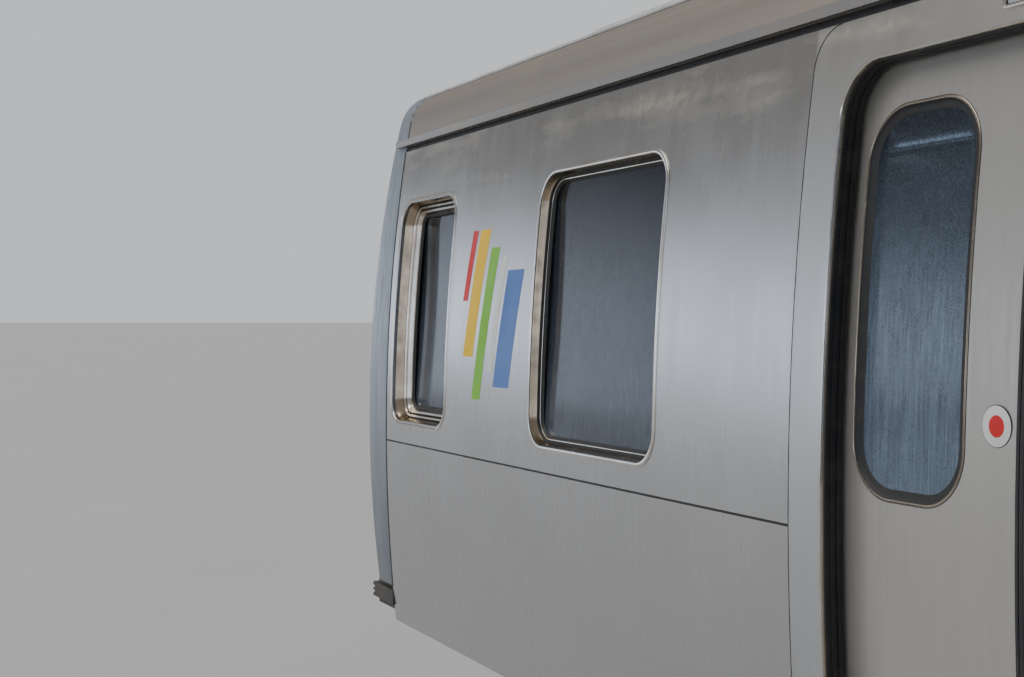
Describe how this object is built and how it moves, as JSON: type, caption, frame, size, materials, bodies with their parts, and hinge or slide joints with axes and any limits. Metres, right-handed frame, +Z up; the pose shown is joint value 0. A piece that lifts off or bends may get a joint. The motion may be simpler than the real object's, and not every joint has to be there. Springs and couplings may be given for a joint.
{
  "type": "metro car",
  "caption": "Stainless metro car with a painted cab end, sliding double doors, roof cooling units, swivelling trucks and end couplers.",
  "frame": {"origin": "under the middle of the car, at the bottom of the wheel flanges", "axes": "+X forward to the cab end, +Y to the left, +Z up"},
  "size_m": [23.08, 3.05, 3.9048],
  "materials": {
    "stainless_skin": "brushed stainless, weathered",
    "portal_steel": "brushed stainless",
    "roof_steel": "dusty stainless",
    "leaf_paint": "satin beige grey",
    "front_paint": "satin blue grey, streaked",
    "rear_steel": "brushed stainless",
    "tinted_glass": "dark tinted glass",
    "under_paint": "flat black, dusty",
    "case_paint": "dark grey, dusty",
    "cast_steel": "rough casting, brake dust",
    "wheel_steel": "rolled steel, bright tread",
    "sill_metal": "ribbed, worn",
    "floor_cover": "speckled sheet",
    "lining": "moulded panel",
    "seat_shell": "moulded shell",
    "rail_chrome": "polished",
    "lamp_body": "polished reflector",
    "brass": "worn brass",
    "desk_plastic": "dark moulded plastic"
  },
  "bodies": {
    "car_body": {"underframe": "under_paint", "body_bolsters": "under_paint", "end_sills": "under_paint", "coupler_anchors": "under_paint", "floor": "floor_cover", "side_bays": "stainless_skin", "door_portals": "portal_steel", "thresholds": "sill_metal", "roof": "roof_steel", "ceiling": "lining", "front_mask": "front_paint", "rear_wall": "rear_steel", "side_glass": "tinted_glass", "end_glass": "tinted_glass", "lamps": "lamp_body", "barrier_studs": "brass", "hvac_units": "roof_steel", "underfloor_cases": "case_paint", "seats": "seat_shell", "draft_screens": "lining", "hand_poles": "rail_chrome", "cab_bulkhead": "lining", "driver_desk": "desk_plastic"},
    "front_truck": {"front_truck": "cast_steel"},
    "front_truck_leading_wheelset": {"front_truck_leading_wheelset": "wheel_steel"},
    "front_truck_trailing_wheelset": {"front_truck_trailing_wheelset": "wheel_steel"},
    "rear_truck": {"rear_truck": "cast_steel"},
    "rear_truck_leading_wheelset": {"rear_truck_leading_wheelset": "wheel_steel"},
    "rear_truck_trailing_wheelset": {"rear_truck_trailing_wheelset": "wheel_steel"},
    "door_1_left_front_leaf": {"door_1_left_front_leaf": "leaf_paint", "door_1_left_front_glass": "tinted_glass"},
    "door_1_left_rear_leaf": {"door_1_left_rear_leaf": "leaf_paint", "door_1_left_rear_glass": "tinted_glass"},
    "door_1_right_front_leaf": {"door_1_right_front_leaf": "leaf_paint", "door_1_right_front_glass": "tinted_glass"},
    "door_1_right_rear_leaf": {"door_1_right_rear_leaf": "leaf_paint", "door_1_right_rear_glass": "tinted_glass"},
    "door_2_left_front_leaf": {"door_2_left_front_leaf": "leaf_paint", "door_2_left_front_glass": "tinted_glass"},
    "door_2_left_rear_leaf": {"door_2_left_rear_leaf": "leaf_paint", "door_2_left_rear_glass": "tinted_glass"},
    "door_2_right_front_leaf": {"door_2_right_front_leaf": "leaf_paint", "door_2_right_front_glass": "tinted_glass"},
    "door_2_right_rear_leaf": {"door_2_right_rear_leaf": "leaf_paint", "door_2_right_rear_glass": "tinted_glass"},
    "door_3_left_front_leaf": {"door_3_left_front_leaf": "leaf_paint", "door_3_left_front_glass": "tinted_glass"},
    "door_3_left_rear_leaf": {"door_3_left_rear_leaf": "leaf_paint", "door_3_left_rear_glass": "tinted_glass"},
    "door_3_right_front_leaf": {"door_3_right_front_leaf": "leaf_paint", "door_3_right_front_glass": "tinted_glass"},
    "door_3_right_rear_leaf": {"door_3_right_rear_leaf": "leaf_paint", "door_3_right_rear_glass": "tinted_glass"},
    "front_end_door": {"front_end_door": "leaf_paint", "front_end_door_glass": "tinted_glass"},
    "front_coupler": {"front_coupler": "cast_steel"},
    "rear_end_door": {"rear_end_door": "leaf_paint", "rear_end_door_glass": "tinted_glass"},
    "rear_coupler": {"rear_coupler": "cast_steel"}
  },
  "joints": [
    {"name": "front_truck_yaw", "type": "hinge", "parent": "car_body", "child": "front_truck", "pos_m": [7.9, 0, 0.8], "axis": [0, 0, 1], "range_deg": [-5, 5]},
    {"name": "front_truck_leading_wheelset_spin", "type": "hinge", "parent": "front_truck", "child": "front_truck_leading_wheelset", "pos_m": [9, 0, 0.383], "axis": [0, 1, 0], "continuous": true},
    {"name": "front_truck_trailing_wheelset_spin", "type": "hinge", "parent": "front_truck", "child": "front_truck_trailing_wheelset", "pos_m": [6.8, 0, 0.383], "axis": [0, 1, 0], "continuous": true},
    {"name": "rear_truck_yaw", "type": "hinge", "parent": "car_body", "child": "rear_truck", "pos_m": [-7.9, 0, 0.8], "axis": [0, 0, 1], "range_deg": [-5, 5]},
    {"name": "rear_truck_leading_wheelset_spin", "type": "hinge", "parent": "rear_truck", "child": "rear_truck_leading_wheelset", "pos_m": [-6.8, 0, 0.383], "axis": [0, 1, 0], "continuous": true},
    {"name": "rear_truck_trailing_wheelset_spin", "type": "hinge", "parent": "rear_truck", "child": "rear_truck_trailing_wheelset", "pos_m": [-9, 0, 0.383], "axis": [0, 1, 0], "continuous": true},
    {"name": "door_1_left_front_slide", "type": "slide", "parent": "car_body", "child": "door_1_left_front_leaf", "axis": [1, 0, 0], "range_m": [0, 0.668]},
    {"name": "door_1_left_rear_slide", "type": "slide", "parent": "car_body", "child": "door_1_left_rear_leaf", "axis": [-1, 0, 0], "range_m": [0, 0.668]},
    {"name": "door_1_right_front_slide", "type": "slide", "parent": "car_body", "child": "door_1_right_front_leaf", "axis": [1, 0, 0], "range_m": [0, 0.668]},
    {"name": "door_1_right_rear_slide", "type": "slide", "parent": "car_body", "child": "door_1_right_rear_leaf", "axis": [-1, 0, 0], "range_m": [0, 0.668]},
    {"name": "door_2_left_front_slide", "type": "slide", "parent": "car_body", "child": "door_2_left_front_leaf", "axis": [1, 0, 0], "range_m": [0, 0.668]},
    {"name": "door_2_left_rear_slide", "type": "slide", "parent": "car_body", "child": "door_2_left_rear_leaf", "axis": [-1, 0, 0], "range_m": [0, 0.668]},
    {"name": "door_2_right_front_slide", "type": "slide", "parent": "car_body", "child": "door_2_right_front_leaf", "axis": [1, 0, 0], "range_m": [0, 0.668]},
    {"name": "door_2_right_rear_slide", "type": "slide", "parent": "car_body", "child": "door_2_right_rear_leaf", "axis": [-1, 0, 0], "range_m": [0, 0.668]},
    {"name": "door_3_left_front_slide", "type": "slide", "parent": "car_body", "child": "door_3_left_front_leaf", "axis": [1, 0, 0], "range_m": [0, 0.668]},
    {"name": "door_3_left_rear_slide", "type": "slide", "parent": "car_body", "child": "door_3_left_rear_leaf", "axis": [-1, 0, 0], "range_m": [0, 0.668]},
    {"name": "door_3_right_front_slide", "type": "slide", "parent": "car_body", "child": "door_3_right_front_leaf", "axis": [1, 0, 0], "range_m": [0, 0.668]},
    {"name": "door_3_right_rear_slide", "type": "slide", "parent": "car_body", "child": "door_3_right_rear_leaf", "axis": [-1, 0, 0], "range_m": [0, 0.668]},
    {"name": "front_end_door_swing", "type": "hinge", "parent": "car_body", "child": "front_end_door", "pos_m": [11.06, 0.338, 2], "axis": [0, 0, -1], "range_deg": [0, 90]},
    {"name": "front_coupler_yaw", "type": "hinge", "parent": "car_body", "child": "front_coupler", "pos_m": [10.35, 0, 0.745], "axis": [0, 0, 1], "range_deg": [-15, 15]},
    {"name": "rear_end_door_swing", "type": "hinge", "parent": "car_body", "child": "rear_end_door", "pos_m": [-10.929, 0.338, 2], "axis": [0, 0, 1], "range_deg": [0, 90]},
    {"name": "rear_coupler_yaw", "type": "hinge", "parent": "car_body", "child": "rear_coupler", "pos_m": [-10.35, 0, 0.745], "axis": [0, 0, 1], "range_deg": [-15, 15]}
  ],
  "couplings": [
    {"joint": "door_1_left_rear_slide", "follows": "door_1_left_front_slide", "ratio": 1},
    {"joint": "door_1_right_rear_slide", "follows": "door_1_right_front_slide", "ratio": 1},
    {"joint": "door_2_left_rear_slide", "follows": "door_2_left_front_slide", "ratio": 1},
    {"joint": "door_2_right_rear_slide", "follows": "door_2_right_front_slide", "ratio": 1},
    {"joint": "door_3_left_rear_slide", "follows": "door_3_left_front_slide", "ratio": 1},
    {"joint": "door_3_right_rear_slide", "follows": "door_3_right_front_slide", "ratio": 1}
  ]
}
